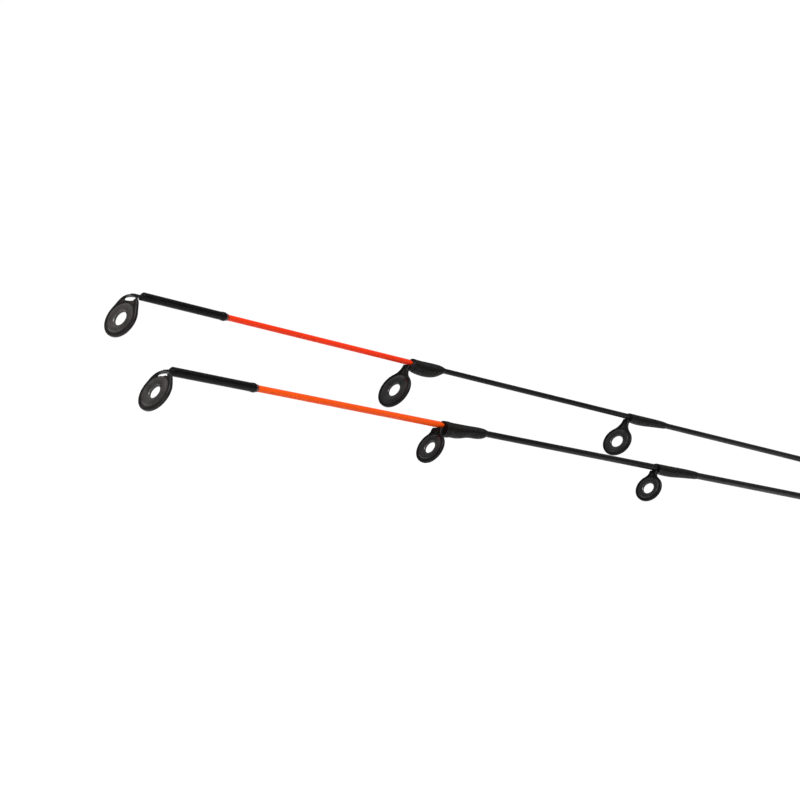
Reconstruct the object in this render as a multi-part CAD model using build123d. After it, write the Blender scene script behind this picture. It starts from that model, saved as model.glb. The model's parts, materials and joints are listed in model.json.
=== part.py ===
from build123d import *
from math import asin, atan2, cos, degrees, radians, sin
import os

# An ice fishing rod in millimetres: a short cork handle with a screw-locking reel seat, a main tip plugged
# into the handle's socket, and a heavier spare tip carried beside it in two rubber clips.
# Row frame: the origin is the centre of the butt end, +X runs to the tips, +Z is up and the guides hang down.

# Where things lie along the rod.
MAIN_TIP_X = 596.0
BUTT_CAP = (0.0, 9.0)
CORE_TUBE = (4.0, 206.0)
REAR_GRIP = (9.0, 100.0)
REAR_TRIM = (100.0, 102.5)
SEAT_BODY = (102.5, 190.0)
FRONT_TRIM = (190.0, 192.5)
FORE_GRIP = (192.5, 238.0)
WINDING_CHECK = (238.0, 241.5)
SOCKET_MOUTH = 256.0
SOCKET_FLOOR = 210.0
SOCKET_PLUG = 190.0

# Handle sections, as radii.
GRIP_R = 12.0
WAIST_R = 9.9
GRIP_FRONT_R = 10.8
FORE_GRIP_R = 9.5
CORE_R = 4.4
CORE_BORE_R = 3.4
SOCKET_BORE_R = 2.95
SPIGOT_R = 2.9
ROUNDING = 2.5

# Reel seat.
SEAT_R = 8.0
SEAT_BORE_R = 6.0
SEAT_FLANGE = (102.5, 103.5)
SEAT_FLANGE_R = 9.6
THREAD = (106.0, 138.0)
THREAD_PITCH = 2.0
THREAD_DEPTH = 0.55
FOOT_FLAT_Z = -7.0
FOOT_FLAT = (128.0, 190.0)
KEYWAY = (104.0, 172.0)
KEYWAY_WIDTH = 3.0
KEYWAY_FLOOR_Z = 7.0
SLIDING_CLEARANCE = 0.25
HOOD_WALL = 1.7
HOOD_DROP = 14.1
HOOD_WIDTH = 17.0
HOOD_CORNER = 3.5
POCKET_WIDTH = 13.6
POCKET_FLOOR_Z = -12.4
POCKET_DEPTH = 10.0
FIXED_HOOD = (172.0, 190.0)
SLIDING_HOOD = (125.1, 141.0)
HOOD_WASHER = (124.1, 125.1)
LOCK_NUT = (113.0, 124.0)
LOCK_NUT_R = 11.2
NUT_FLUTES = 18
ARBORS = {"rear": (108.0, 122.0), "front": (168.0, 184.0)}

# Hook keeper: a bent wire on top of the socket, its two feet under thread wraps.
KEEPER_WIRE_R = 0.4
KEEPER_FEET = (242.6, 254.6)
KEEPER_LOOP = (247.0, 250.2)
KEEPER_HEIGHT = 3.4
SOCKET_WRAPS = {"rear": (242.0, 247.0), "front": (250.2, 255.2)}
SOCKET_WRAP_R = 5.5

# The spare tip lies parallel to the main one, this far back and this far out from the rod's axis.
SPARE_BACK = 1.85
SPARE_OFFSET = 14.28
SPARE_SIDE_ANGLE = 40.6
SPARE_ROLL = 7.4
CLIPS = {"rear": (212.0, 219.0), "front": (229.0, 236.0)}
CLIP_WALL = 1.7

# One tip, measured back from the front of its tip-top tube.
TUBE_LENGTH = 15.7
TUBE_PLUG = 1.1
LIP = 0.06
SHOULDER = (14.9, 15.7)
TRIM = (15.7, 16.2)
GUIDE_LEAN = 22.4
SECTION_END = 59.9
SPLICE_END = 74.0
SPLICE_R = 0.34
COLLAR = (333.8, 339.8)
COLLAR_R = 4.2
BUTT_WRAP = (323.8, 333.8)
BLANK_END = 374.0
SPIGOT_END = 385.0
GLUE = 0.02
NECK_RISE = 0.5
WEB_NECK_R = 0.2
WEB_SHARE = 0.88
FRAME_PLATE = 0.4
FRAME_RIM = 0.7
FRAME_ROUND = 0.24
RIM_WIDTH = 0.5
RING_THICKNESS = 0.95
RING_FILLET = 0.42
TANG_WIDTH = 1.2
TANG_Z = (-0.42, 0.1)
FOOT_THICKNESS = 0.4
FOOT_WIDTH = 1.3
FOOT_TOE = 0.45
FOOT_SHARE = 0.72
ARCH_STRIP = 0.3
WINDOW = (1.5, 0.44)

# Wraps: how far behind their necks they start, and their shapes as (share of the length, how much thicker than
# the blank, how far the centre hangs below the blank's). Each tip's first wrap has its own shape and starts
# with the black blank. The main tip's also climbs the front of the foot, in a short cone.
WRAP_GAP = 0.7
WRAP_CORE_AHEAD = 5.0
WRAP_SHAPES = {
    "main": ((0.0, 0.74, 0.36), (0.17, 0.87, 0.55), (0.38, 0.93, 0.60), (0.58, 0.90, 0.53), (0.76, 0.71, 0.34),
             (0.90, 0.38, 0.10), (0.97, 0.18, 0.01), (1.0, 0.11, 0.0)),
    "spare": ((0.0, 0.79, 0.54), (0.15, 0.84, 0.62), (0.30, 0.81, 0.60), (0.45, 0.68, 0.45), (0.58, 0.55, 0.30),
              (0.72, 0.54, 0.24), (0.84, 0.49, 0.18), (0.93, 0.33, 0.08), (0.98, 0.15, 0.0), (1.0, 0.07, 0.0)),
    "others": ((0.0, 0.42, 0.22), (0.12, 0.48, 0.29), (0.34, 0.50, 0.30), (0.58, 0.40, 0.17), (0.82, 0.27, 0.05),
               (1.0, 0.12, 0.0)),
}
WRAP_CLIMB = ((59.05, 0.55, 1.05), (59.95, 1.20, 0.34))

# What differs between the two tips: radii of the orange section and of the blank at places along them, the
# tip-top (its ring's centre ahead of and below the tube's front, how far its plate leans and twists, the radii
# of its two rounded ends, how far the upper one's centre is above the ring's, the ring's hole), and the guides
# (where they meet the blank, how far they hang, the wraps' lengths, half the necks' widths, the radii of the
# plates and of the rings' holes).
TIPS = {
    "main": {
        "tube_r": 0.70,
        "section": ((TUBE_PLUG, 0.50), (TUBE_LENGTH, 0.51), (SECTION_END, 0.56)),
        "blank": ((SECTION_END, 0.52), (215.0, 0.80), (BLANK_END, 1.55)),
        "tip_top": {"ring": (3.0, 4.14), "lean": 17.3, "twist": 11.5, "frame_r": 3.2, "top_r": 2.4,
                    "rise": 1.86, "hole_r": 1.15},
        "necks": (58.75, 132.6, 236.0),
        "drops": (5.65, 6.1, 7.4),
        "wraps": (8.8, 15.5, 16.0),
        "neck_r": (0.85, 0.85, 0.9),
        "frame_r": (3.78, 3.7, 4.2),
        "hole_r": (1.3, 1.45, 1.9),
    },
    "spare": {
        "tube_r": 0.74,
        "section": ((TUBE_PLUG, 0.54), (TUBE_LENGTH, 0.56), (SECTION_END, 0.62)),
        "blank": ((SECTION_END, 0.60), (215.0, 0.92), (BLANK_END, 1.70)),
        "tip_top": {"ring": (2.4, 3.58), "lean": 21.0, "twist": 8.5, "frame_r": 3.2, "top_r": 2.7,
                    "rise": 1.08, "hole_r": 1.0},
        "necks": (58.7, 131.4, 236.0),
        "drops": (4.25, 4.6, 6.4),
        "wraps": (12.3, 17.5, 17.0),
        "neck_r": (1.35, 1.0, 1.0),
        "frame_r": (3.22, 3.3, 4.0),
        "hole_r": (1.12, 1.3, 1.75),
    },
}


def turned(points):
    """A solid of revolution about the rod's axis, from (x, radius) points going round its section."""
    return revolve(make_face(Polyline(*points, close=True)), Axis.X)


def tube(span, outer_r, inner_r):
    """A plain tube along the rod's axis."""
    low, high = span
    return turned([(low, inner_r), (high, inner_r), (high, outer_r), (low, outer_r)])


def rod(span, radius):
    """A plain round bar along the rod's axis."""
    return tube(span, radius, 0)


def bar(span, width, z_low, z_high):
    """A box along the rod's axis, centred on it sideways."""
    low, high = span
    place = Pos((low + high) / 2, 0, (z_low + z_high) / 2)
    return place * Box(high - low, width, z_high - z_low)


def across(x, drop=0.0):
    """A plane square to the rod's axis, its own x along +Y and its own y along +Z."""
    return Plane(origin=(x, 0, -drop), x_dir=(0, 1, 0), z_dir=(1, 0, 0))


def prism(sketch, span):
    """A sketch in the YZ plane, run along the rod's axis."""
    low, high = span
    return extrude(across(low) * sketch, high - low)


# ---- handle ----


def butt_cap():
    low, high = BUTT_CAP
    core = CORE_TUBE[0]
    section = [(low, 0), (low, GRIP_R - ROUNDING), (low + 0.3 * ROUNDING, GRIP_R - 0.3 * ROUNDING),
               (low + ROUNDING, GRIP_R), (high, GRIP_R), (high, CORE_R), (core, CORE_R), (core, 0)]
    return turned(section)


def rear_grip():
    low, high = REAR_GRIP
    straight = high - 24
    profile = Spline((straight, GRIP_R), (high - 8, WAIST_R), (high, GRIP_FRONT_R),
                     tangents=((1, 0), (1, 0.3)))
    rest = Polyline((high, GRIP_FRONT_R), (high, CORE_R), (low, CORE_R), (low, GRIP_R), (straight, GRIP_R))
    return revolve(make_face(profile + rest), Axis.X)


def seat_body():
    low, high = SEAT_BODY
    section = [(low, SEAT_BORE_R), (low, SEAT_FLANGE_R), (SEAT_FLANGE[1], SEAT_FLANGE_R),
               (SEAT_FLANGE[1], SEAT_R)]
    root = SEAT_R - THREAD_DEPTH
    for turn in range(int((THREAD[1] - THREAD[0]) / THREAD_PITCH)):
        start = THREAD[0] + turn * THREAD_PITCH
        quarter = THREAD_PITCH / 4
        section += [(start, SEAT_R), (start + quarter, root), (start + 2 * quarter, root),
                    (start + 3 * quarter, SEAT_R)]
    section += [(high, SEAT_R), (high, SEAT_BORE_R)]
    body = turned(section)
    body -= bar(FOOT_FLAT, 2 * SEAT_R, -2 * SEAT_R, FOOT_FLAT_Z)
    return body - bar(KEYWAY, KEYWAY_WIDTH, KEYWAY_FLOOR_Z, 2 * SEAT_R)


def hood(span, bore_r, mouth_high):
    """A hood that grips one end of the reel's foot. Its pocket opens at the high or the low end of span."""
    low, high = span
    outer = Circle(bore_r + HOOD_WALL) + Pos(0, -(HOOD_DROP + 3) / 2) * RectangleRounded(
        HOOD_WIDTH, HOOD_DROP - 3, HOOD_CORNER)
    mouth, back = (high, low) if mouth_high else (low, high)
    inward = -1 if mouth_high else 1
    brow = mouth + inward * POCKET_DEPTH * 0.75
    side = Polyline((mouth, 2 * SEAT_R), (mouth, -HOOD_DROP), (brow, -HOOD_DROP),
                    (back, -bore_r - HOOD_WALL - 0.4), (back, 2 * SEAT_R), close=True)
    side = extrude(Plane.XZ * make_face(side), 2 * SEAT_R, both=True)
    body = prism(outer, span) & side
    body -= rod((low - 1, high + 1), bore_r)
    pocket = sorted((mouth - inward, mouth + inward * POCKET_DEPTH))
    return body - bar(pocket, POCKET_WIDTH, POCKET_FLOOR_Z, 0)


def sliding_hood():
    body = hood(SLIDING_HOOD, SEAT_R + SLIDING_CLEARANCE, True)
    key_width = KEYWAY_WIDTH - 2 * SLIDING_CLEARANCE
    return body + bar(SLIDING_HOOD, key_width, KEYWAY_FLOOR_Z + SLIDING_CLEARANCE, SEAT_R + HOOD_WALL / 2)


def hood_washer():
    return tube(HOOD_WASHER, SEAT_R + HOOD_WALL, SEAT_R + SLIDING_CLEARANCE)


def lock_nut():
    low, high = LOCK_NUT
    bevel = 0.8
    bore = SEAT_R + SLIDING_CLEARANCE
    body = turned([(low, bore), (low, LOCK_NUT_R - bevel), (low + bevel, LOCK_NUT_R),
                   (high - 3 * bevel, LOCK_NUT_R), (high, LOCK_NUT_R - 1.5 * bevel), (high, bore)])
    for flute in range(NUT_FLUTES):
        turn = Rot(360 * flute / NUT_FLUTES, 0, 0)
        body -= turn * Pos(0, 0, LOCK_NUT_R + 0.4) * rod((low - 1, high - 2), 0.95)
    return body


def fore_grip():
    low, high = FORE_GRIP
    nose = high - ROUNDING
    return turned([(low, CORE_R), (low, FORE_GRIP_R - 0.4), (low + 0.6, FORE_GRIP_R), (nose, FORE_GRIP_R),
                   (high - 0.3 * ROUNDING, FORE_GRIP_R - 0.3 * ROUNDING), (high, FORE_GRIP_R - ROUNDING),
                   (high, CORE_R)])


def winding_check():
    low, high = WINDING_CHECK
    return turned([(low, CORE_R), (low, FORE_GRIP_R - ROUNDING), (low + 1, FORE_GRIP_R - ROUNDING),
                   (high, CORE_R + 0.6), (high, CORE_R)])


def ferrule_socket():
    """A tube with a blind bore, its rear end stepped down to plug into the core tube."""
    core_end = CORE_TUBE[1]
    lip = SOCKET_MOUTH - 0.5
    return turned([(SOCKET_PLUG, 0), (SOCKET_PLUG, CORE_BORE_R), (core_end, CORE_BORE_R), (core_end, CORE_R),
                   (lip, CORE_R), (SOCKET_MOUTH, CORE_R - 0.3), (SOCKET_MOUTH, SOCKET_BORE_R),
                   (SOCKET_FLOOR, SOCKET_BORE_R), (SOCKET_FLOOR, 0)])


def hook_keeper():
    foot_z = CORE_R + KEEPER_WIRE_R
    top_z = CORE_R + KEEPER_HEIGHT
    route = FilletPolyline((KEEPER_FEET[0], 0, foot_z), (KEEPER_LOOP[0], 0, foot_z), (KEEPER_LOOP[0], 0, top_z),
                           (KEEPER_LOOP[1], 0, top_z), (KEEPER_LOOP[1], 0, foot_z),
                           (KEEPER_FEET[1], 0, foot_z), radius=3 * KEEPER_WIRE_R)
    return sweep(across(KEEPER_FEET[0], -foot_z) * Circle(KEEPER_WIRE_R), route)


def socket_wrap(span):
    """A thread wrap round the socket. The foot of the hook keeper is bedded in it."""
    low, high = span
    rise = 1.2
    inner = CORE_R
    return turned([(low, inner), (low, inner + 0.25), (low + rise, SOCKET_WRAP_R),
                   (high - rise, SOCKET_WRAP_R), (high, inner + 0.25), (high, inner)])


def spare_clip(span):
    """Two rubber rings in one: the large one sits on the fore grip and the small one holds the spigot."""
    side = radians(SPARE_SIDE_ANGLE)
    spare = (SPARE_OFFSET * sin(side), -SPARE_OFFSET * cos(side))
    small_r = SOCKET_BORE_R + CLIP_WALL
    cheek = Pos(0.62 * spare[0], 0.62 * spare[1]) * Rot(0, 0, -(90 - SPARE_SIDE_ANGLE)) * Rectangle(8, 9.6)
    outer = Circle(FORE_GRIP_R + CLIP_WALL) + Pos(*spare) * Circle(small_r) + cheek
    holes = Circle(FORE_GRIP_R) + Pos(*spare) * Circle(SOCKET_BORE_R)
    return prism(outer, span) - prism(holes, (span[0] - 1, span[1] + 1))


# ---- one tip, built with the front of its tip-top tube at the origin and running back along -X ----


def back(points):
    """Turns (distance back, radius) points into (x, radius) points."""
    return [(-distance, radius) for distance, radius in points]


def tip_top_tube(size):
    r, bore, mouth = size["tube_r"], size["section"][0][1], size["section"][1][1]
    front, rear = SHOULDER
    return turned(back([(0, 0), (0, 0.45 * r), (0.4, 0.8 * r), (0.9, r), (front, r), (front + 0.1, r + LIP),
                        (rear - 0.1, r + LIP), (rear, r), (rear, mouth), (TUBE_PLUG, bore), (TUBE_PLUG, 0)]))


def tip_top_trim(size):
    r, inner = size["tube_r"], size["section"][1][1]
    low, high = TRIM
    return turned(back([(low, inner), (low, r - 0.06), (high - 0.1, r - 0.09), (high, inner + 0.04),
                        (high, inner + 0.01)]))


def tip_section(size):
    """The solid orange tip, its rear end stepped down to splice into the blank."""
    front, middle, end = size["section"]
    return turned(back([(front[0], 0), front, middle, end, (SECTION_END, SPLICE_R), (SPLICE_END, SPLICE_R),
                        (SPLICE_END, 0)]))


def blank(size):
    """A tapered tube. Its bore holds the orange tip's splice in front and opens out behind it."""
    front, middle, end = size["blank"]
    bore = [(end[0], 0.62 * end[1]), (middle[0], 0.55 * middle[1]), (SPLICE_END + 2, SPLICE_R),
            (front[0], SPLICE_R)]
    return turned(back([front, middle, end] + bore))


def spigot(size):
    end = size["blank"][2]
    front = COLLAR[0]
    front_r = blank_r(size, front)
    return turned(back([(front, front_r), (front, SPIGOT_R), (SPIGOT_END - 0.6, SPIGOT_R),
                        (SPIGOT_END, SPIGOT_R - 0.6), (SPIGOT_END, 0), (BLANK_END, 0), end]))


def spigot_collar():
    front, rear = COLLAR
    return turned(back([(front, SPIGOT_R), (front, COLLAR_R - 0.9), (front + 0.9, COLLAR_R),
                        (rear - 0.4, COLLAR_R), (rear, COLLAR_R - 0.4), (rear, SPIGOT_R)]))


def butt_wrap(size):
    front, rear = BUTT_WRAP
    return turned(back([(front, blank_r(size, front)), (front, blank_r(size, front) + 0.12),
                        (front + 2, blank_r(size, front) + 0.45), (rear - 0.5, SPIGOT_R),
                        (rear, SPIGOT_R - 0.1), (rear, blank_r(size, rear))]))


def blank_r(size, distance):
    """The blank's outer radius at a distance back from the tip."""
    front, middle, end = size["blank"]
    start, stop = (front, middle) if distance < middle[0] else (middle, end)
    share = (distance - start[0]) / (stop[0] - start[0])
    return start[1] + share * (stop[1] - start[1])


def ring_plane(centre, lean, twist=0.0):
    """The plane of a guide's ring: its origin is the ring's centre and its own +y runs up and back."""
    ahead, below = centre
    tilt, turn = radians(lean), radians(twist)
    normal = (cos(tilt) * cos(turn), cos(tilt) * sin(turn), sin(tilt))
    return Plane(origin=(ahead, 0, -below), x_dir=(-sin(turn), cos(turn), 0), z_dir=normal)


def egg(ring_r, top_r, rise):
    """A tip-top's outline: a large and a smaller round end joined by straight sides that touch both."""
    slope = asin((ring_r - top_r) / rise)
    top = (top_r * cos(slope), top_r * sin(slope) + rise)
    ring = (ring_r * cos(slope), ring_r * sin(slope))
    lean = degrees(slope)
    return make_face([
        CenterArc((0, rise), top_r, lean, 180 - 2 * lean),
        Line((-top[0], top[1]), (-ring[0], ring[1])),
        CenterArc((0, 0), ring_r, 180 - lean, 180 + 2 * lean),
        Line(ring, top),
    ])


def keyhole(ring_r, neck_r, top):
    """A guide's outline: a round plate drawn up into a narrow neck by hollow curves that touch both."""
    throat = top - neck_r
    hollow_r = (throat**2 - ring_r**2 + neck_r**2) / (2 * (ring_r - neck_r))
    centre_x = neck_r + hollow_r
    turn = degrees(atan2(throat, centre_x))
    return make_face([
        CenterArc((0, throat), neck_r, 0, 180),
        CenterArc((-centre_x, throat), hollow_r, 0, -turn),
        CenterArc((0, 0), ring_r, 180 - turn, 180 + 2 * turn),
        CenterArc((centre_x, throat), hollow_r, 180 + turn, -turn),
    ])


def guide_plate(outline, web, ring_r, window=None):
    """A pressed plate in the XY plane: a rounded rim, a thinner web, the ring's hole and maybe a window."""
    plate = extrude(outline, FRAME_RIM / 2, both=True)
    caps = plate.edges().group_by(Axis.Z)
    plate = fillet(caps[0] + caps[-1], FRAME_ROUND)
    seat = Circle(ring_r - RIM_WIDTH)
    plate -= extrude(seat + window if window else seat, FRAME_RIM, both=True)
    recess = web - Circle(ring_r - RIM_WIDTH / 2)
    for face in (1, -1):
        plate -= extrude(Plane.XY.offset(face * FRAME_PLATE / 2) * recess, face * FRAME_RIM)
    return plate


def guide_ring(plane, frame_r, hole_r):
    """The ceramic ring that sits in the plate's hole."""
    outer_r = frame_r - RIM_WIDTH - GLUE
    wide = outer_r - hole_r
    section = Pos((outer_r + hole_r) / 2, 0) * RectangleRounded(wide, RING_THICKNESS, RING_FILLET)
    return plane * Pos(0, 0, 0) * revolve(Plane.XZ * section, Axis.Z)


def tip_top_frame(top):
    """The tip-top's plate, with the tang that joins its upper end to the front of the tube."""
    plane = ring_plane(top["ring"], top["lean"], top["twist"])
    frame_r, top_r, rise = top["frame_r"], top["top_r"], top["rise"]
    web = egg(frame_r - RIM_WIDTH, top_r - RIM_WIDTH, rise)
    window = Pos(0, rise + top_r - ARCH_STRIP - WINDOW[1]) * Ellipse(*WINDOW)
    plate = plane * Pos(0, 0, 0) * guide_plate(egg(frame_r, top_r, rise), web, frame_r, window)
    ahead, below = top["ring"]
    arch_x = ahead - (rise + top_r) * sin(radians(top["lean"]))
    return plate + bar((0, arch_x + 0.1), TANG_WIDTH, *TANG_Z)


def guide_place(size, index):
    """How far back a guide's neck meets the blank, how far below the axis that is, and its ring's plane."""
    neck, drop = size["necks"][index], size["drops"][index]
    thickest = blank_r(size, neck + size["wraps"][index] * FOOT_SHARE)
    below = max(thickest, size["section"][2][1]) + GLUE
    tilt = radians(GUIDE_LEAN)
    return neck, below, ring_plane((drop * sin(tilt) - neck, below + drop * cos(tilt)), GUIDE_LEAN)


def guide_frame(size, index):
    """A single-foot guide: its plate, and the foot that runs back along the underside of the blank."""
    neck, below, plane = guide_place(size, index)
    drop, ring_r = size["drops"][index], size["frame_r"][index]
    neck_r = size["neck_r"][index]
    outline = keyhole(ring_r, neck_r, drop + NECK_RISE * neck_r)
    web = keyhole(ring_r - RIM_WIDTH, WEB_NECK_R, WEB_SHARE * drop)
    plate = plane * Pos(0, 0, 0) * guide_plate(outline, web, ring_r)
    length = size["wraps"][index] * FOOT_SHARE
    front, heel, toe = 0.4 - neck, -neck - 0.6 * length, -neck - length
    sole = -below - FOOT_THICKNESS
    side = Polyline((front, -below), (front, sole), (heel, sole), (toe, -below - 0.12), (toe, -below), close=True)
    plan = Polyline((front, FOOT_WIDTH / 2), (front, -FOOT_WIDTH / 2), (toe, -FOOT_TOE / 2), (toe, FOOT_TOE / 2),
                    close=True)
    foot = extrude(Plane.XZ * make_face(side), FOOT_WIDTH, both=True) & extrude(
        Pos(0, 0, -2 * ring_r) * make_face(plan), 4 * ring_r)
    above = bar((front - 5, front + 5), 4 * ring_r, -below, 2 * ring_r)
    return (plate - above) + foot


def guide_wrap(name, size, index):
    """A thread wrap under a coat of epoxy, swelling over the foot of the guide, which is bedded in it."""
    first = index == 0
    start = SECTION_END if first else size["necks"][index] + WRAP_GAP
    length = size["wraps"][index]
    r = blank_r(size, start + length / 2)
    shape = WRAP_SHAPES[name if first else "others"]
    wrap = loft([across(-start - share * length, drop) * Circle(r + extra) for share, extra, drop in shape])
    if first and name == "main":
        wrap += loft([across(-distance, drop) * Circle(climb_r) for distance, climb_r, drop in WRAP_CLIMB])
    front, middle, end = size["blank"]
    tip_r = size["section"][-1][1] + GLUE
    ahead = SECTION_END - WRAP_CORE_AHEAD
    core = turned(back([(ahead, 0), (ahead, tip_r), (SECTION_END, tip_r), front, middle, end, (end[0], 0)]))
    return wrap - core


def tip_pieces(name, size):
    """Every piece of one tip, by node name."""
    top = size["tip_top"]
    pieces = {
        "tip_top_tube": tip_top_tube(size),
        "tip_top_frame": tip_top_frame(top),
        "tip_top_ring": guide_ring(
            ring_plane(top["ring"], top["lean"], top["twist"]), top["frame_r"], top["hole_r"]),
        "tip_top_trim": tip_top_trim(size),
        "tip_section": tip_section(size),
        "blank": blank(size),
        "spigot": spigot(size),
        "spigot_collar": spigot_collar(),
        "butt_wrap": butt_wrap(size),
    }
    for index, frame_r in enumerate(size["frame_r"]):
        pieces[f"guide_{index + 1}_frame"] = guide_frame(size, index)
        pieces[f"guide_{index + 1}_ring"] = guide_ring(
            guide_place(size, index)[2], frame_r, size["hole_r"][index])
        pieces[f"guide_{index + 1}_wrap"] = guide_wrap(name, size, index)
    return {f"{name}_{piece}": solid for piece, solid in pieces.items()}


def spare_place():
    side = radians(SPARE_SIDE_ANGLE)
    place = Pos(MAIN_TIP_X - SPARE_BACK, SPARE_OFFSET * sin(side), -SPARE_OFFSET * cos(side))
    return place * Rot(SPARE_ROLL, 0, 0)


def handle_pieces():
    pieces = {
        "butt_cap": butt_cap(),
        "core_tube": tube(CORE_TUBE, CORE_R, CORE_BORE_R),
        "rear_grip": rear_grip(),
        "rear_trim_ring": tube(REAR_TRIM, GRIP_FRONT_R, CORE_R),
        "reel_seat_body": seat_body(),
        "fixed_hood": hood(FIXED_HOOD, SEAT_R, False),
        "sliding_hood": sliding_hood(),
        "hood_washer": hood_washer(),
        "lock_nut": lock_nut(),
        "front_trim_ring": tube(FRONT_TRIM, SEAT_R + HOOD_WALL, CORE_R),
        "fore_grip": fore_grip(),
        "winding_check": winding_check(),
        "ferrule_socket": ferrule_socket(),
        "hook_keeper": hook_keeper(),
    }
    for end, span in ARBORS.items():
        pieces[f"seat_arbor_{end}"] = tube(span, SEAT_BORE_R, CORE_R)
    for end, span in SOCKET_WRAPS.items():
        pieces[f"socket_wrap_{end}"] = socket_wrap(span)
    for end, span in CLIPS.items():
        pieces[f"spare_clip_{end}"] = spare_clip(span)
    return pieces


pieces = handle_pieces()
for piece, solid in tip_pieces("main", TIPS["main"]).items():
    pieces[piece] = Pos(MAIN_TIP_X, 0, 0) * solid
for piece, solid in tip_pieces("spare", TIPS["spare"]).items():
    pieces[piece] = spare_place() * solid

os.makedirs("parts", exist_ok=True)
for piece, solid in pieces.items():
    export_step(solid, f"parts/{piece}.step")
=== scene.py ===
import json
from math import cos, pi, radians, sin
import bmesh
import bpy
from mathutils import Matrix, Vector, noise
from mathutils.bvhtree import BVHTree


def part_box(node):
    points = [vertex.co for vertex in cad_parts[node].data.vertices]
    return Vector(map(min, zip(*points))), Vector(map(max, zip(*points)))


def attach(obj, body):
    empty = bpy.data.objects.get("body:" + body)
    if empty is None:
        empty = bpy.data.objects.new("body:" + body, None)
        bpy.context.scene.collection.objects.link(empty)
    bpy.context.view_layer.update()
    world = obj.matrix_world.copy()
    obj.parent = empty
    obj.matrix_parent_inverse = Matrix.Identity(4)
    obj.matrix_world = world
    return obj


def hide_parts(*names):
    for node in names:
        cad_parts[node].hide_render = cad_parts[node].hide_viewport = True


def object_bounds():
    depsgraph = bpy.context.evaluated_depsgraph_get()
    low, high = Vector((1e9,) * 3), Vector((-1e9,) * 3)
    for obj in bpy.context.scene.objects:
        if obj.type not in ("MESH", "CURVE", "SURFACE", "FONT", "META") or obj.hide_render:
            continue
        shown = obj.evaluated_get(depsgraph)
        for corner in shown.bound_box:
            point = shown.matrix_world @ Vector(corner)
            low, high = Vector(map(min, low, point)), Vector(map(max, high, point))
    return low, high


# The looks of an ice fishing rod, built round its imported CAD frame. Metres throughout; lengths that are
# easier to read in millimetres are multiplied by MM.
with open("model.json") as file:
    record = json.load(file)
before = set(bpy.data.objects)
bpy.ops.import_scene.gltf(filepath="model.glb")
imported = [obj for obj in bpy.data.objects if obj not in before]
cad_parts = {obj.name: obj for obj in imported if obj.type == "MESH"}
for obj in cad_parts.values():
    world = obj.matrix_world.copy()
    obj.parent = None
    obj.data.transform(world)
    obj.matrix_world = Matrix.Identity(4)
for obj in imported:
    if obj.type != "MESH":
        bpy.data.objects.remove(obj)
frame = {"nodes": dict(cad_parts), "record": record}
cad_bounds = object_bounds()
MM = 0.001
NODES = frame["nodes"]

# ---- camera, light and floor ----

TIP_FRONT = Vector((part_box("main_tip_top_tube")[1].x, 0, 0))
CAMERA_FROM_TIP = Vector((89.8, 156.7, -14.5)) * MM
CAMERA_RIGHT = Vector((-0.71075, 0.68056, 0.17794))
CAMERA_UP = Vector((0.15140, -0.09902, 0.98350))
LENS = 50.6
SENSOR = 36.0
NEAREST_SEEN = 5 * MM
FLOOR_SIZE = 24
FLOOR_DROP = 0.30
# The surround: what the camera sees, what lights the object, and how strongly from level and from overhead.
SEEN_WHITE = (1.03, 1.03, 1.03)
LIT_WHITE = (0.96, 0.97, 1.0)
LOW_LIGHT = 0.12
TOP_LIGHT = 0.55
OVERHEAD = 0.9


def make_camera():
    """The camera stands ahead of the tips and to their left, and looks back along the rod."""
    data = bpy.data.cameras.new("camera")
    data.lens = LENS
    data.sensor_width = SENSOR
    data.clip_start = NEAREST_SEEN
    camera = bpy.data.objects.new("camera", data)
    bpy.context.scene.collection.objects.link(camera)
    right = CAMERA_RIGHT.normalized()
    backward = right.cross(CAMERA_UP).normalized()
    up = backward.cross(right)
    turn = Matrix((right, up, backward)).transposed().to_4x4()
    camera.matrix_world = Matrix.Translation(TIP_FRONT + CAMERA_FROM_TIP) @ turn
    bpy.context.scene.camera = camera


def add_light(name, kind, energy, direction, place, **settings):
    """A light at a place, whose beam runs along direction. A sun's place makes no difference."""
    data = bpy.data.lights.new(name, kind)
    data.energy = energy
    for key, value in settings.items():
        setattr(data, key, value)
    light = bpy.data.objects.new(name, data)
    light.location = place
    light.rotation_mode = "QUATERNION"
    light.rotation_quaternion = Vector(direction).to_track_quat("-Z", "Y")
    bpy.context.scene.collection.objects.link(light)


def make_lights():
    """A broad sun from above, and a softbox ahead of the tips, both from the rod's left."""
    add_light("key", "SUN", 3.2, (-0.35, -0.45, -1.0), Vector((0, 0, 1)), angle=radians(35))
    add_light("side", "AREA", 2.0, (-0.9, -0.6, -0.25), Vector((0.95, 0.45, 0.25)), size=0.6)


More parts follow.
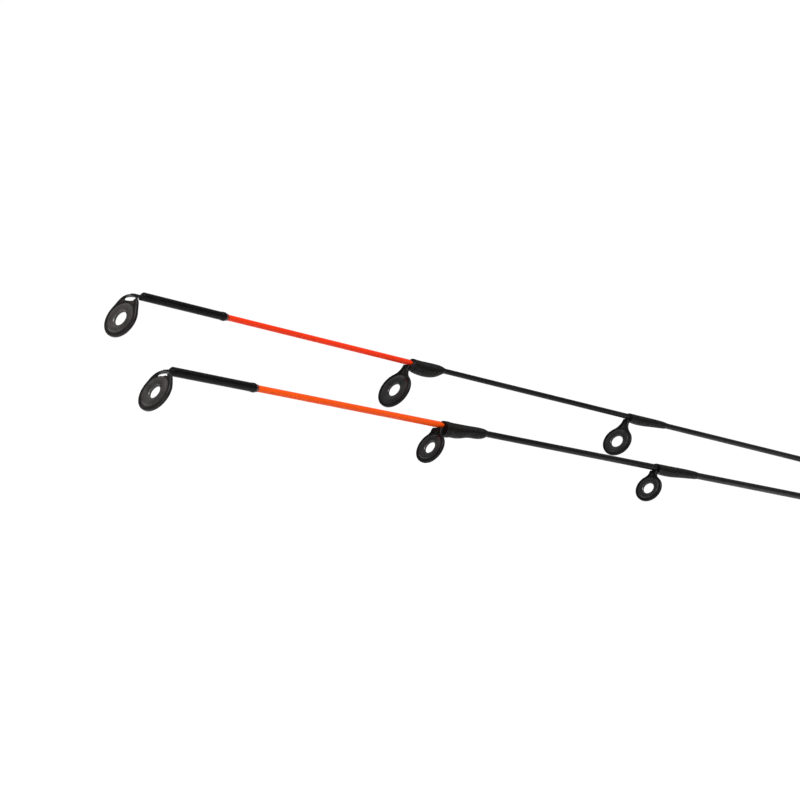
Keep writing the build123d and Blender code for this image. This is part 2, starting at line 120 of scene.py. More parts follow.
def make_world():
    """A white surround to look at. It lights the object less than it shows, and most from overhead."""
    world = bpy.data.worlds.new("surround")
    world.use_nodes = True
    tree = world.node_tree
    tree.nodes.clear()
    out = tree.nodes.new("ShaderNodeOutputWorld")
    mix = tree.nodes.new("ShaderNodeMixShader")
    path = tree.nodes.new("ShaderNodeLightPath")
    seen = tree.nodes.new("ShaderNodeBackground")
    lit = tree.nodes.new("ShaderNodeBackground")
    seen.inputs["Color"].default_value = (*SEEN_WHITE, 1)
    lit.inputs["Color"].default_value = (*LIT_WHITE, 1)
    height = tree.nodes.new("ShaderNodeSeparateXYZ")
    tree.links.new(tree.nodes.new("ShaderNodeTexCoord").outputs["Generated"], height.inputs[0])
    strength = tree.nodes.new("ShaderNodeMapRange")
    for name, number in (("From Max", OVERHEAD), ("To Min", LOW_LIGHT), ("To Max", TOP_LIGHT)):
        strength.inputs[name].default_value = number
    tree.links.new(height.outputs["Z"], strength.inputs["Value"])
    tree.links.new(strength.outputs[0], lit.inputs["Strength"])
    tree.links.new(path.outputs["Is Camera Ray"], mix.inputs[0])
    tree.links.new(lit.outputs[0], mix.inputs[1])
    tree.links.new(seen.outputs[0], mix.inputs[2])
    tree.links.new(mix.outputs[0], out.inputs["Surface"])
    bpy.context.scene.world = world


def make_floor():
    """A wide pale floor, well below the rod, which is held up by its grip."""
    low, high = cad_bounds
    middle = (low + high) / 2
    bpy.ops.mesh.primitive_plane_add(size=FLOOR_SIZE, location=(middle.x, middle.y, low.z - FLOOR_DROP))
    floor = bpy.context.object
    floor.name = "floor"
    paint = Paint("floor_paper", (0.93, 0.93, 0.935), rough=0.9)
    paint.vary(paint.noise(3.0, 3), (0.925, 0.925, 0.93), (0.935, 0.935, 0.94))
    floor.data.materials.append(paint.material)


# ---- materials ----

# Scales of the wave that draws wound thread: it repeats every 2 pi / (20 x scale) metres.
THREAD_WAVE = 3125
TRIM_WAVE = 9000
# The carbon cloth is wrapped round at this radius, with tows of this width.
CLOTH_R = 8.0 * MM
TOW_WIDTH = 1.05 * MM


class Paint:
    """A Principled material and the few node chains that the materials here are made of."""

    def __init__(self, name, colour, rough=0.5, metal=0.0, coat=0.0, coat_rough=0.05, sheen=0.0, level=0.5):
        self.material = bpy.data.materials.new(name)
        self.material.use_nodes = True
        self.tree = self.material.node_tree
        self.shader = self.tree.nodes["Principled BSDF"]
        self.set(**{"Base Color": (*colour, 1), "Roughness": rough, "Metallic": metal, "Coat Weight": coat,
                    "Coat Roughness": coat_rough, "Sheen Weight": sheen, "Specular IOR Level": level})
        self.material.diffuse_color = (*colour, 1)
        self.place = self.node("ShaderNodeTexCoord").outputs["Object"]
        self.height = None

    def set(self, **values):
        for name, value in values.items():
            self.shader.inputs[name].default_value = value

    def node(self, kind, **values):
        made = self.tree.nodes.new(kind)
        for name, value in values.items():
            setattr(made, name, value)
        return made

    def link(self, out, into):
        self.tree.links.new(out, into)

    def stretched(self, x, y, z):
        """Object coordinates scaled along each axis, so a pattern can run along the rod."""
        mapping = self.node("ShaderNodeMapping")
        mapping.inputs["Scale"].default_value = (x, y, z)
        self.link(self.place, mapping.inputs["Vector"])
        return mapping.outputs[0]

    def noise(self, scale, detail=4, at=None, rough=0.55):
        made = self.node("ShaderNodeTexNoise")
        made.inputs["Scale"].default_value = scale
        made.inputs["Detail"].default_value = detail
        made.inputs["Roughness"].default_value = rough
        self.link(at or self.place, made.inputs["Vector"])
        return made.outputs["Fac"]

    def cells(self, scale, at):
        made = self.node("ShaderNodeTexVoronoi", feature="F1")
        made.inputs["Scale"].default_value = scale
        self.link(at, made.inputs["Vector"])
        return made.outputs["Distance"]

    def turns(self, scale):
        """Even bands round the rod, such as wound thread."""
        made = self.node("ShaderNodeTexWave", wave_type="BANDS", bands_direction="X")
        made.inputs["Scale"].default_value = scale
        self.link(self.place, made.inputs["Vector"])
        return made.outputs["Fac"]

    def remap(self, value, low, high, to_low=0.0, to_high=1.0):
        made = self.node("ShaderNodeMapRange")
        for name, number in (("From Min", low), ("From Max", high), ("To Min", to_low), ("To Max", to_high)):
            made.inputs[name].default_value = number
        self.link(value, made.inputs["Value"])
        return made.outputs[0]

    def mixed(self, factor, first, second):
        """A colour between two, each a colour or the output of another mix."""
        made = self.node("ShaderNodeMix", data_type="RGBA")
        self.link(factor, made.inputs["Factor"])
        for name, colour in (("A", first), ("B", second)):
            socket = [s for s in made.inputs if s.name == name and s.type == "RGBA"][0]
            if isinstance(colour, tuple):
                socket.default_value = (*colour, 1)
            else:
                self.link(colour, socket)
        return [s for s in made.outputs if s.type == "RGBA"][0]

    def vary(self, factor, first, second):
        self.link(self.mixed(factor, first, second), self.shader.inputs["Base Color"])

    def vary_rough(self, factor, low, high):
        self.link(self.remap(factor, 0.3, 0.7, low, high), self.shader.inputs["Roughness"])

    def bump(self, value, depth, strength=1.0):
        """Adds relief of that depth in metres. Each call stands on the one before."""
        made = self.node("ShaderNodeBump")
        made.inputs["Distance"].default_value = depth
        made.inputs["Strength"].default_value = strength
        self.link(value, made.inputs["Height"])
        if self.height:
            self.link(self.height, made.inputs["Normal"])
        self.height = made.outputs[0]
        self.link(self.height, self.shader.inputs["Normal"])


def blank_paint():
    """Carbon blank under a thin clear coat, with fibres that run along it."""
    paint = Paint("clear_coated_carbon", (0.004, 0.004, 0.004), rough=0.36, coat=0.03, coat_rough=0.15,
                  level=0.09)
    fibre = paint.noise(900, 5, paint.stretched(0.05, 1, 1))
    paint.vary(paint.remap(fibre, 0.35, 0.7), (0.002, 0.002, 0.002), (0.007, 0.0065, 0.0065))
    paint.vary_rough(paint.noise(120, 3), 0.3, 0.45)
    paint.bump(fibre, 0.01 * MM, 0.5)
    return paint.material


def orange_paint(name, deep, bright):
    """Fluorescent glass fibre, streaked along its length."""
    paint = Paint(name, bright, rough=0.42, coat=0.04, coat_rough=0.2, level=0.12)
    streak = paint.noise(260, 5, paint.stretched(0.12, 1, 1))
    paint.vary(paint.remap(streak, 0.3, 0.72), deep, bright)
    paint.vary_rough(paint.noise(400, 4), 0.3, 0.46)
    paint.bump(paint.noise(700, 3, paint.stretched(0.2, 1, 1)), 0.012 * MM, 0.6)
    return paint.material


def pressed_steel(name, dark, light):
    """Black plating on pressed steel: satin, with fine scratches and slightly rubbed patches."""
    paint = Paint(name, dark, rough=0.34, metal=0.3, coat=0.03, coat_rough=0.2, level=0.12)
    rubbed = paint.noise(650, 6, rough=0.7)
    paint.vary(paint.remap(rubbed, 0.42, 0.75), dark, light)
    paint.vary_rough(paint.noise(1500, 4, paint.stretched(1, 0.2, 1)), 0.24, 0.46)
    paint.bump(paint.noise(2600, 3), 0.006 * MM, 0.6)
    return paint.material


def ring_ceramic(name, dark, light):
    """Polished ceramic whose colour is varied in patches between a dark and a paler tone, painted streaky
    highlight, with a fine relief and patchy roughness.
    """
    paint = Paint(name, dark, rough=0.16, coat=0.1, coat_rough=0.08, level=0.3)
    # The paler patches of colour are painted highlight.
    paint.vary(paint.remap(paint.noise(500, 5), 0.3, 0.7), dark, light)
    paint.vary_rough(paint.noise(1800, 4), 0.12, 0.24)
    paint.bump(paint.noise(3500, 2), 0.004 * MM, 0.5)
    return paint.material


def mottled_plate(name, olive, reddish, worn):
    """A tip-top's plate web: dull plating with olive and reddish patches, worn paler in places, and as a
    whole painted paler than its rim as a painted reflection.
    """
    paint = Paint(name, olive, rough=0.36, metal=0.2, level=0.14)
    patch = paint.remap(paint.noise(420, 2), 0.42, 0.6)
    wear = paint.remap(paint.noise(900, 5, rough=0.7), 0.5, 0.75)
    paint.vary(wear, paint.mixed(patch, olive, reddish), worn)
    paint.vary_rough(paint.noise(1500, 4), 0.28, 0.46)
    paint.bump(paint.noise(2600, 3), 0.006 * MM, 0.6)
    return paint.material


def thread_epoxy():
    """Black winding thread under a thick clear coat."""
    paint = Paint("epoxied_thread", (0.004, 0.003, 0.003), rough=0.4, coat=0.06, coat_rough=0.08, level=0.08)
    turn = paint.turns(THREAD_WAVE)
    paint.vary(paint.remap(turn, 0.2, 0.9), (0.002, 0.0018, 0.0018), (0.007, 0.0058, 0.005))
    paint.vary_rough(paint.noise(700, 4), 0.32, 0.48)
    paint.bump(turn, 0.02 * MM, 0.7)
    return paint.material


def trim_thread():
    """A few turns of dark red thread under epoxy."""
    paint = Paint("dark_red_thread", (0.12, 0.015, 0.01), rough=0.4, coat=0.3, coat_rough=0.1, level=0.2)
    turn = paint.turns(TRIM_WAVE)
    paint.vary(turn, (0.04, 0.008, 0.006), (0.16, 0.022, 0.01))
    paint.bump(turn, 0.015 * MM, 0.6)
    return paint.material


def cork():
    """Turned cork: warm and mottled, with fine speckles, dark pits and darker streaks."""
    paint = Paint("cork", (0.62, 0.42, 0.25), rough=0.82, level=0.25)
    cloud = paint.noise(60, 6)
    grain = paint.noise(380, 5, paint.stretched(1.8, 1, 1))
    base = paint.mixed(paint.remap(cloud, 0.3, 0.72), (0.40, 0.235, 0.12), (0.60, 0.395, 0.235))
    speckled = paint.mixed(paint.remap(grain, 0.5, 0.7), base, (0.31, 0.17, 0.08))
    pits = paint.remap(paint.cells(520, paint.stretched(0.55, 1, 1)), 0.10, 0.20)
    pocked = paint.mixed(pits, (0.20, 0.11, 0.055), speckled)
    streak = paint.remap(paint.noise(170, 4, paint.stretched(0.35, 1, 1), 0.8), 0.66, 0.72)
    paint.vary(streak, pocked, (0.24, 0.13, 0.065))
    paint.vary_rough(grain, 0.72, 0.92)
    paint.bump(pits, 0.18 * MM, 0.6)
    paint.bump(grain, 0.1 * MM, 0.5)
    return paint.material


def rubber():
    """Dull black rubber with a fine speckled grain."""
    paint = Paint("black_rubber", (0.022, 0.022, 0.022), rough=0.7, sheen=0.15, level=0.35)
    speck = paint.noise(900, 5)
    paint.vary(paint.remap(speck, 0.35, 0.7), (0.016, 0.016, 0.016), (0.034, 0.033, 0.032))
    paint.vary_rough(paint.noise(220, 4), 0.6, 0.82)
    paint.bump(speck, 0.05 * MM, 0.6)
    return paint.material


def anodised(name, dark, light, rough):
    """Turned and anodised aluminium, with fine lathe marks round the axis."""
    paint = Paint(name, dark, rough=rough, metal=0.9)
    marks = paint.noise(2500, 2, paint.stretched(1, 0.02, 0.02))
    paint.vary(paint.remap(marks, 0.3, 0.75), dark, light)
    paint.vary_rough(paint.noise(500, 5), rough - 0.07, rough + 0.1)
    paint.bump(marks, 0.008 * MM, 0.7)
    return paint.material


def woven_carbon():
    """Carbon cloth under lacquer, for the reel seat, its washer and the core tube."""
    paint = Paint("woven_carbon", (0.02, 0.02, 0.022), rough=0.35, metal=0.3, coat=0.8, coat_rough=0.06)
    coords = paint.node("ShaderNodeSeparateXYZ")
    paint.link(paint.place, coords.inputs[0])
    angle = paint.node("ShaderNodeMath", operation="ARCTAN2")
    paint.link(coords.outputs["Y"], angle.inputs[0])
    paint.link(coords.outputs["Z"], angle.inputs[1])
    around = paint.node("ShaderNodeMath", operation="MULTIPLY")
    paint.link(angle.outputs[0], around.inputs[0])
    around.inputs[1].default_value = CLOTH_R
    flat = paint.node("ShaderNodeCombineXYZ")
    paint.link(coords.outputs["X"], flat.inputs["X"])
    paint.link(around.outputs[0], flat.inputs["Y"])
    checks = paint.node("ShaderNodeTexChecker")
    checks.inputs["Scale"].default_value = 1 / TOW_WIDTH
    paint.link(flat.outputs[0], checks.inputs["Vector"])
    fibre = paint.noise(2600, 3, paint.stretched(0.1, 1, 1))
    weave = checks.outputs["Fac"]
    tow = paint.mixed(weave, (0.010, 0.010, 0.011), (0.045, 0.045, 0.048))
    paint.vary(paint.remap(fibre, 0.4, 0.7, 0, 0.5), tow, (0.02, 0.02, 0.022))
    paint.link(paint.remap(weave, 0, 1, 0.3, 0.5), paint.shader.inputs["Roughness"])
    return paint.material


def moulded(name, dark, light, rough):
    """A plain moulded or ground surface, slightly clouded, with a fine grain."""
    paint = Paint(name, dark, rough=rough)
    paint.vary(paint.remap(paint.noise(300, 5), 0.3, 0.7), dark, light)
    paint.vary_rough(paint.noise(90, 3), rough - 0.08, rough + 0.1)
    paint.bump(paint.noise(1800, 3), 0.02 * MM, 0.5)
    return paint.material


MATERIALS = {
    "black_blank": blank_paint(),
    "main_orange": orange_paint("deep_orange", (0.52, 0.018, 0.001), (0.66, 0.029, 0.002)),
    "spare_orange": orange_paint("bright_orange", (0.54, 0.046, 0.001), (0.67, 0.068, 0.002)),
    "guide_steel": pressed_steel("plated_steel", (0.003, 0.0028, 0.0028), (0.010, 0.0092, 0.009)),
    # The webs are painted paler than the rims: painted reflection, not a different plating.
    "web_steel": pressed_steel("plated_web_painted_reflection", (0.016, 0.0155, 0.014), (0.042, 0.039, 0.035)),
    "tube_steel": pressed_steel("plated_tube", (0.002, 0.0018, 0.002), (0.006, 0.0055, 0.0055)),
    "tip_rim_steel": pressed_steel("plated_rim", (0.009, 0.0082, 0.008), (0.022, 0.020, 0.019)),
    "tip_web_steel": mottled_plate("mottled_web_painted_reflection", (0.034, 0.032, 0.022), (0.038, 0.027, 0.026),
                                   (0.085, 0.08, 0.072)),
    "ring_ceramic": ring_ceramic("polished_ceramic", (0.006, 0.0055, 0.0055), (0.016, 0.0145, 0.014)),
    # The tip-tops' ceramic is a lighter copy of the rings' ceramic: painted light, as the tip-top faces the
    # light.
    "tip_ceramic_painted_light": ring_ceramic("tip_ceramic_painted_light", (0.018, 0.016, 0.0155), (0.044, 0.039, 0.037)),
    "thread_epoxy": thread_epoxy(),
    "trim_red": trim_thread(),
    "cork": cork(),
    "black_rubber": rubber(),
    "black_aluminium": anodised("black_anodised", (0.018, 0.018, 0.02), (0.05, 0.05, 0.055), 0.33),
    "socket_metal": anodised("grey_anodised", (0.22, 0.22, 0.235), (0.38, 0.38, 0.40), 0.30),
    "wire_steel": anodised("bright_wire", (0.42, 0.42, 0.43), (0.62, 0.62, 0.63), 0.22),
    "graphite_tube": woven_carbon(),
    "seat_plastic": woven_carbon(),
    "arbor_foam": moulded("arbor_foam", (0.20, 0.19, 0.17), (0.32, 0.30, 0.27), 0.85),
    "spigot_carbon": moulded("ground_carbon", (0.018, 0.018, 0.019), (0.05, 0.05, 0.052), 0.36),
}


def dress(piece, material):
    piece.data.materials.clear()
    piece.data.materials.append(MATERIALS[material])


def look_of(node):
    """The material of a node: its slot's, apart from each tip's own orange and the tip-tops' own looks, whose
    ring ceramic is a lighter copy painted as if lit.
    """
    slot = SLOT_OF[node]
    if slot == "orange_glass_fibre":
        return node.split("_")[0] + "_orange"
    own = {"tip_top_tube": "tube_steel", "tip_top_frame": "tip_rim_steel", "tip_top_ring": "tip_ceramic_painted_light"}
    return own.get(node.split("_", 1)[1], slot)


def dress_cad_nodes():
    """Every CAD node gets the material of its slot; pieces that replace some of them come later."""
    for node in SLOT_OF:
        dress(NODES[node], look_of(node))
        for face in NODES[node].data.polygons:
            face.use_smooth = True


# ---- measuring the frame ----

AXIS_STEPS = 30
BODY_OF = {node: body for body, nodes in frame["record"]["behaviour"]["bodies"].items() for node in nodes}
SLOT_OF = {sub["node"]: sub["material_slot"] for sub in frame["record"]["subparts"]}
TIPS = ("main", "spare")


def axis_of(node):
    """The y and z of the turning axis that a node lies round: the rod's, or the spare tip's."""
    if BODY_OF[node] != "spare_tip":
        return Vector((0, 0, 0))
    low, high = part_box("spare_blank")
    middle = (low + high) / 2
    return Vector((0, middle.y, middle.z))


def surface_of(node):
    """A node's mesh, ready to be looked at with rays."""
    mesh = NODES[node].data
    return BVHTree.FromPolygons([v.co for v in mesh.vertices], [p.vertices for p in mesh.polygons])


def ring_axis(node):
    """A turned ring's centre and axis: the direction in which its points spread least.

    Each step of the inverse iteration turns the guess closer to that direction."""
    points = [v.co for v in NODES[node].data.vertices]
    low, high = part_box(node)
    centre = (low + high) / 2
    spread = Matrix.Diagonal((0.0, 0.0, 0.0))
    for point in points:
        arm = (point - centre) / MM
        for i in range(3):
            for j in range(3):
                spread[i][j] += arm[i] * arm[j]
    normal = Vector((1, 0, 0))
    for _ in range(AXIS_STEPS):
        normal = (spread.inverted() @ normal).normalized()
    return centre, normal if normal.x > 0 else -normal


# ---- making pieces ----

# Rays start this far outside a node, end rings are measured this far inside its ends, and a ray that
# misses gives this radius.
RAY_START = 20 * MM
END_INSET = 0.002 * MM
MISSED_R = 0.1 * MM
# Softened edges: faces that meet at less than FLAT_ANGLE are one face, and edges over EDGE_ANGLE are rounded.
WELD = 0.001 * MM
FLAT_ANGLE = radians(0.6)
EDGE_ANGLE = radians(32)
CREASE_ANGLE = radians(50)
EDGE_STEPS = 3


def stand_in(node, mesh):
    """A new piece that takes a CAD node's place, body and the material of its slot."""
    piece = bpy.data.objects.new(f"{node}_detail", mesh)
    bpy.context.scene.collection.objects.link(piece)
    dress(piece, look_of(node))
    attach(piece, BODY_OF[node])
    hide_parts(node)
    return piece


def mesh_of_rings(name, rings, closed=False, sharp=40):
    """A smooth closed skin over rings of points. Open ends are capped; a closed row joins last to first."""
    count = len(rings[0])
    points = [p for ring in rings for p in ring]
    faces = []
    rows = len(rings) if closed else len(rings) - 1
    for row in range(rows):
        here, there = row * count, (row + 1) % len(rings) * count
        for i in range(count):
            j = (i + 1) % count
            faces.append((here + i, here + j, there + j, there + i))
    if not closed:
        for start, turn in ((0, -1), ((len(rings) - 1) * count, 1)):
            centre = sum(points[start:start + count], Vector()) / count
            points.append(centre)
            hub = len(points) - 1
            for i in range(count):
                j = (i + 1) % count
                faces.append((start + i, start + j, hub)[::turn])
    mesh = bpy.data.meshes.new(name)
    mesh.from_pydata(points, [], faces)
    form = bmesh.new()
    form.from_mesh(mesh)
    bmesh.ops.recalc_face_normals(form, faces=form.faces)
    form.to_mesh(mesh)
    form.free()
    mesh.shade_smooth()
    mesh.set_sharp_from_angle(angle=radians(sharp))
    return mesh


def stations(low, high, step, edge=0.0):
    """Evenly spaced places from low to high, with one more close to each end."""
    inset = [low + edge, high - edge] if edge else []
    count = max(2, round((high - low) / step))
    even = [low + (high - low) * k / count for k in range(count + 1)]
    inner = [x for x in even[1:-1] if low + 1.5 * edge < x < high - 1.5 * edge]
    return sorted([low, high] + inset + inner)


def middle_at(surface, x, y, low, high):
    """How high the middle of a surface is at x and y, seen from above and from below."""
    top = surface.ray_cast(Vector((x, y, high.z + RAY_START)), Vector((0, 0, -1)))[0]
    bottom = surface.ray_cast(Vector((x, y, low.z - RAY_START)), Vector((0, 0, 1)))[0]
    return (top.z + bottom.z) / 2 if top and bottom else (low.z + high.z) / 2


def outer_rings(node, places, around, relief=None, turned=False):
    """Rings of points on a node's outside, found by looking at it from all round.

    A turned node is looked at round its axis, any other one round its own middle at each place."""
    surface = surface_of(node)
    low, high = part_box(node)
    axis = axis_of(node)
    far = (high - low).length + RAY_START
    rings = []
    for x in places:
        inside = min(max(x, low.x + END_INSET), high.x - END_INSET)
        centre = Vector((inside, axis.y, axis.z if turned else middle_at(surface, inside, axis.y, low, high)))
        angles = [2 * pi * k / around for k in range(around)]
        arms = [Vector((0, cos(angle), sin(angle))) for angle in angles]
        hits = [surface.ray_cast(centre + arm * far, -arm)[0] for arm in arms]
        radii = [(hit - centre).length if hit else MISSED_R for hit in hits]
        if turned:
            radii = [max(radii)] * around
        if relief:
            radii = [r + relief(x - low.x, high.x - x, angle, r) for r, angle in zip(radii, angles)]
        rings.append([Vector((x, centre.y, centre.z)) + arm * r for arm, r in zip(arms, radii)])
    return rings


def skin(node, step, around, relief=None, edge=0.0, turned=False):
    """A closed skin over a node's outside, with relief added to it."""
    low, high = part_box(node)
    places = stations(low.x, high.x, step, edge)
    return mesh_of_rings(node, outer_rings(node, places, around, relief, turned))


def softened(node, width):
    """A copy of a hard-edged node with its edges rounded over."""
    mesh = NODES[node].data.copy()
    form = bmesh.new()
    form.from_mesh(mesh)
    bmesh.ops.remove_doubles(form, verts=form.verts, dist=WELD)
    bmesh.ops.dissolve_limit(form, angle_limit=FLAT_ANGLE, verts=form.verts, edges=form.edges)
    sharp = [e for e in form.edges if len(e.link_faces) == 2 and e.calc_face_angle() > EDGE_ANGLE]
    bmesh.ops.bevel(form, geom=sharp, offset=width, segments=EDGE_STEPS, profile=0.5, affect="EDGES",
                    clamp_overlap=True)
    bmesh.ops.recalc_face_normals(form, faces=form.faces)
    form.to_mesh(mesh)
    form.free()
    mesh.shade_smooth()
    mesh.set_sharp_from_angle(angle=CREASE_ANGLE)
    return mesh


# ---- tips ----

# Wound thread: its pitch, how far it shows through the epoxy, and where it fades out at a wrap's ends.
THREAD = 0.17 * MM
RIDGE = 0.012 * MM
WRAP_FADE = 1.0 * MM
WRAP_SIDES = 30
WRAP_STEPS = 6
BLANK_SIDES = 40
BLANK_STEP = 2.5 * MM
ORANGE_STEP = 1.0 * MM
# A tip-top's tube: rings of points behind its front, and (share of the radius, place) of the ones that
# round the front edge, in millimetres. The front leans by SLANT for each millimetre of height.
TUBE_SIDES = 48
TUBE_STEPS = (0, 0.03, 0.12, 0.5, 0.72, 0.76, 0.82, 0.9, 2, 4, 6, 8, 10, 12, 13)
TUBE_FRONT = ((1, -0.12), (0.985, -0.04), (0.93, 0.0))
SLANT = 0.35
# A plate's web, painted paler than its rim as a painted reflection, is what faces along its ring's axis and
# lies no higher than this from its middle.
WEB_FACING = 0.98
WEB_HEIGHT = 0.27 * MM
# A line ring: its inside is an arc as wide as this share of its section, and then come (share of the
# section's width in from the outside, share of its half height) of the steps down to the outer rim.
RING_SIDES = 72
RING_ARC_STEPS = 14
RING_ROUND = 0.62
RING_RIM = ((0.22, 0.93), (0.14, 0.66), (0.0, 0.60))


def thread_relief(from_low, from_high, angle, radius):
    """Thread wound in a close helix, hardly showing through the epoxy and drowned in it at the ends."""
    depth = min(1.0, from_low / WRAP_FADE, from_high / WRAP_FADE)
    return RIDGE * depth * cos(2 * pi * from_low / THREAD - angle)


def make_wraps():
    """Thread wraps, which swell over the guides' feet."""
    for node, slot in SLOT_OF.items():
        if slot == "thread_epoxy":
            stand_in(node, skin(node, THREAD / WRAP_STEPS, WRAP_SIDES, thread_relief, edge=0.03 * MM))


def make_blanks():
    """Round, finely tapered skins: the blanks and the orange tips that are spliced into them."""
    for tip in TIPS:
        for node, step in ((f"{tip}_blank", BLANK_STEP), (f"{tip}_tip_section", ORANGE_STEP)):
            stand_in(node, skin(node, step, BLANK_SIDES, turned=True, edge=0.04 * MM))


def make_tubes():
    """The tip-tops' tubes: the front is cut on a slant, so that the lower half reaches out to the tang."""
    for tip in TIPS:
        node = f"{tip}_tip_top_tube"
        low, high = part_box(node)
        axis = axis_of(node)
        rings = outer_rings(node, [low.x + step * MM for step in TUBE_STEPS], TUBE_SIDES, turned=True)
        last = rings[-1]
        for share, ahead in TUBE_FRONT:
            ring = []
            for point in last:
                arm = (point - Vector((point.x, axis.y, axis.z))) * share
                x = high.x + ahead * MM + SLANT * (last[0].y - axis.y - arm.z)
                ring.append(Vector((x, axis.y + arm.y, axis.z + arm.z)))
            rings.append(ring)
        stand_in(node, mesh_of_rings(node, rings, sharp=45))


def make_frames():
    """Guide plates: the flat web gets a paler, duller material than the rounded rim that frames it, a painted
    reflection of the light that falls on it.
    """
    for node in [node for node in SLOT_OF if node.endswith("_frame")]:
        centre, normal = ring_axis(node.replace("_frame", "_ring"))
        piece = stand_in(node, NODES[node].data.copy())
        piece.data.materials.append(MATERIALS["tip_web_steel" if "tip_top" in node else "web_steel"])
        for face in piece.data.polygons:
            flat = abs(face.normal.dot(normal)) > WEB_FACING
            height = abs((face.center - centre).dot(normal))
            face.material_index = 1 if flat and height < WEB_HEIGHT else 0


def make_rings():
    """Ceramic line rings, polished round inside, with a fine stepped lip where each meets its plate."""
    for node, slot in SLOT_OF.items():
        if slot != "ring_ceramic":
            continue
        centre, normal = ring_axis(node)
        arms = [v.co - centre for v in NODES[node].data.vertices]
        heights = [arm.dot(normal) for arm in arms]
        radii = [(arm - normal * height).length for arm, height in zip(arms, heights)]
        outer, hole, half = max(radii), min(radii), max(heights)
        side = normal.cross(Vector((0, 1, 0))).normalized()
        front = normal.cross(side)
        angles = [2 * pi * k / RING_SIDES for k in range(RING_SIDES)]
        arms = [side * cos(angle) + front * sin(angle) for angle in angles]
        rings = [[centre + arm * r + normal * h for arm in arms] for r, h in ring_section(hole, outer, half)]
        stand_in(node, mesh_of_rings(node, rings, closed=True, sharp=50))


def ring_section(hole, outer, half):
    """A ring's section as (radius, height) points: round inside, stepped down to a thin rim outside."""
    width = outer - hole
    round_r = RING_ROUND * width
    angles = [radians(90 + 180 * k / RING_ARC_STEPS) for k in range(RING_ARC_STEPS + 1)]
    inside = [(hole + round_r + round_r * cos(angle), half * sin(angle)) for angle in angles]
    down = [(outer - share * width, -half * level) for share, level in RING_RIM]
    up = [(r, -height) for r, height in reversed(down)]
    return inside + down + up


# ---- handle ----

# Cork: the glued discs' length, their seams, the grain's depth, and how deep a pit may be.
CORK_DISC = 12.7 * MM
CORK_SEAM = 0.16 * MM
CORK_SEAM_DEPTH = 0.05 * MM
CORK_GRAIN = 0.03 * MM
CORK_GRAIN_SCALE = 1.9
CORK_PIT = 0.5 * MM
CORK_FADE = 0.4 * MM
CORK_STEP = 0.34 * MM
# Pits and cracks: the noise's scale along the rod and across it, its shift, the level above which there
# is a hole, and how fast the hole deepens.
CORK_HOLES = ((0.8, 0.42, 0, 0.50, 2.4 * MM), (1.4, 0.35, 40, 0.56, 2.6 * MM))


def cork_relief(offset):
    """Open pits, a fine grain and a faint groove at each seam. The offset gives each grip its own pattern."""
    def relief(from_low, from_high, angle, radius):
        spot = Vector((from_low, radius * cos(angle), radius * sin(angle))) / MM + Vector((offset, 0, 0))
        grain = noise.noise(spot * CORK_GRAIN_SCALE) * CORK_GRAIN
        depth = 0.0
        for along, across, shift, level, steepness in CORK_HOLES:
            here = noise.noise(Vector((spot.x * along + shift, spot.y * across, spot.z * across)))
            depth += max(0.0, here - level) * steepness
        seam = abs((from_low + CORK_DISC / 2) % CORK_DISC - CORK_DISC / 2)
        groove = CORK_SEAM_DEPTH * max(0.0, 1 - seam / CORK_SEAM)
        fade = min(1.0, from_low / CORK_FADE, from_high / CORK_FADE)
        return (grain - min(depth, CORK_PIT) - groove) * fade
    return relief


def make_grips():
    """The two cork grips."""
    for node, around, offset in (("rear_grip", 220, 0), ("fore_grip", 180, 170)):
        stand_in(node, skin(node, CORK_STEP, around, cork_relief(offset), edge=0.05 * MM))


# The reel seat. Places along it are measured from its rear end. SCREW_WIDE is half the width of the
# thread's groove and SCREW_FLANK the width of a flank, both as shares of half a pitch.
SEAT_R = 8.0 * MM
SEAT_BORE_R = 6.0 * MM
SEAT_FLANGE = 1.0 * MM
SEAT_FLANGE_R = 9.6 * MM
SCREW = (3.5 * MM, 35.5 * MM)
PITCH = 2.0 * MM
SCREW_DEPTH = 0.55 * MM
SCREW_WIDE = 0.72
SCREW_FLANK = 0.34
FLAT_START = 25.5 * MM
FLAT_Z = -7.0 * MM
KEYWAY = (1.5 * MM, 69.5 * MM)
KEYWAY_HALF = 1.5 * MM
KEYWAY_REACH = KEYWAY_HALF + 0.001 * MM
KEYWAY_Z = 7.0 * MM
# How many points go round its barrel and across its keyway, how many rings of points to a turn of the
# thread, and the angle between the keyway's points and its walls.
BARREL_STEPS = 150
KEYWAY_STEPS = 6
TURN_STEPS = 14
KEYWAY_GAP = 0.001
# Rings stand this close to each side of a step, and the ends' edges are broken by this much in radius,
# over these lengths.
HAIR = 0.01 * MM
BROKEN_EDGE = 0.15 * MM
FLANGE_EDGE = 0.1 * MM
FRONT_EDGE = 0.2 * MM
PLAIN_RINGS = (45 * MM, 60 * MM)


def screw_depth(along, angle):
    """How deep the seat's helical thread is cut at a place. It runs out at both ends."""
    start, end = SCREW
    fade = min(1.0, (along - start) / (0.5 * PITCH), (end - along) / (0.5 * PITCH))
    if fade <= 0:
        return 0.0
    turn = ((along - start) / PITCH - angle / (2 * pi)) % 1.0
    return SCREW_DEPTH * fade * min(1.0, max(0.0, (SCREW_WIDE - abs(2 * turn - 1)) / SCREW_FLANK))


def seat_point(along, angle, radius):
    """A point of the seat's outside, cut down to the flat under the reel's foot and to the keyway's floor."""
    r = radius - screw_depth(along, angle)
    y, z = r * cos(angle), r * sin(angle)
    if along > FLAT_START:
        z = max(z, FLAT_Z)
    if KEYWAY[0] < along < KEYWAY[1] and abs(y) < KEYWAY_REACH:
        z = min(z, KEYWAY_Z)
    return y, z


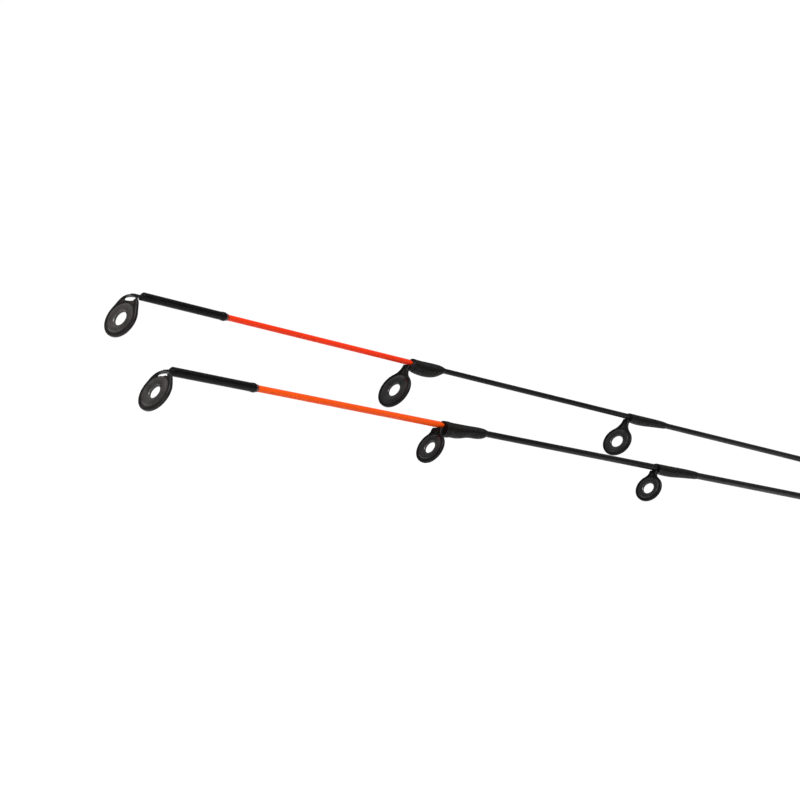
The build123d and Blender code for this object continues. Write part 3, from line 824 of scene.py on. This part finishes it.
def make_seat():
    """The reel seat's barrel, whose thread is a real helix here."""
    low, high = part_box("reel_seat_body")
    length = high.x - low.x
    wall = pi / 2 - KEYWAY_HALF / SEAT_R
    floor = pi - 2 * wall - 2 * KEYWAY_GAP
    angles = [pi - wall + (2 * wall + pi) * k / BARREL_STEPS for k in range(BARREL_STEPS + 1)]
    angles += [wall + KEYWAY_GAP + floor * k / KEYWAY_STEPS for k in range(KEYWAY_STEPS + 1)]
    steps = [0.0, FLANGE_EDGE, SEAT_FLANGE - FLANGE_EDGE, SEAT_FLANGE, SEAT_FLANGE + HAIR]
    screw_rings = int(TURN_STEPS * (SCREW[1] - SCREW[0]) / PITCH) + 1
    steps += [SCREW[0] + PITCH * k / TURN_STEPS for k in range(screw_rings)]
    steps += [edge + side * HAIR for edge in (*KEYWAY, FLAT_START) for side in (-1, 1)]
    steps += [*PLAIN_RINGS, length - FRONT_EDGE, length]
    rings = []
    for along in sorted(steps):
        radius = SEAT_FLANGE_R if along <= SEAT_FLANGE else SEAT_R
        if along in (0.0, length):
            radius -= BROKEN_EDGE
        places = [seat_point(along, angle, radius) for angle in angles]
        rings.append([Vector((low.x + along, y, z)) for y, z in places])
    for x in (high.x, low.x):
        rings.append([Vector((x, SEAT_BORE_R * cos(angle), SEAT_BORE_R * sin(angle))) for angle in angles])
    stand_in("reel_seat_body", mesh_of_rings("reel_seat_body", rings, closed=True, sharp=35))


# How far each piece's edges are rounded over, in millimetres.
EDGES = {
    "butt_cap": 0.5, "rear_trim_ring": 0.3, "front_trim_ring": 0.3, "fixed_hood": 0.45, "sliding_hood": 0.45,
    "hood_washer": 0.2, "lock_nut": 0.25, "winding_check": 0.25, "spare_clip_rear": 0.5,
    "spare_clip_front": 0.5, "ferrule_socket": 0.15, "main_spigot_collar": 0.2, "spare_spigot_collar": 0.2,
}


def make_softened():
    """Machined and moulded pieces, with the small round edges that the real ones have."""
    for node, width in EDGES.items():
        stand_in(node, softened(node, width * MM))


make_camera()
make_world()
make_floor()
make_lights()
dress_cad_nodes()
make_wraps()
make_blanks()
make_tubes()
make_frames()
make_rings()
make_grips()
make_seat()
make_softened()
bpy.context.scene.view_settings.view_transform = "Standard"
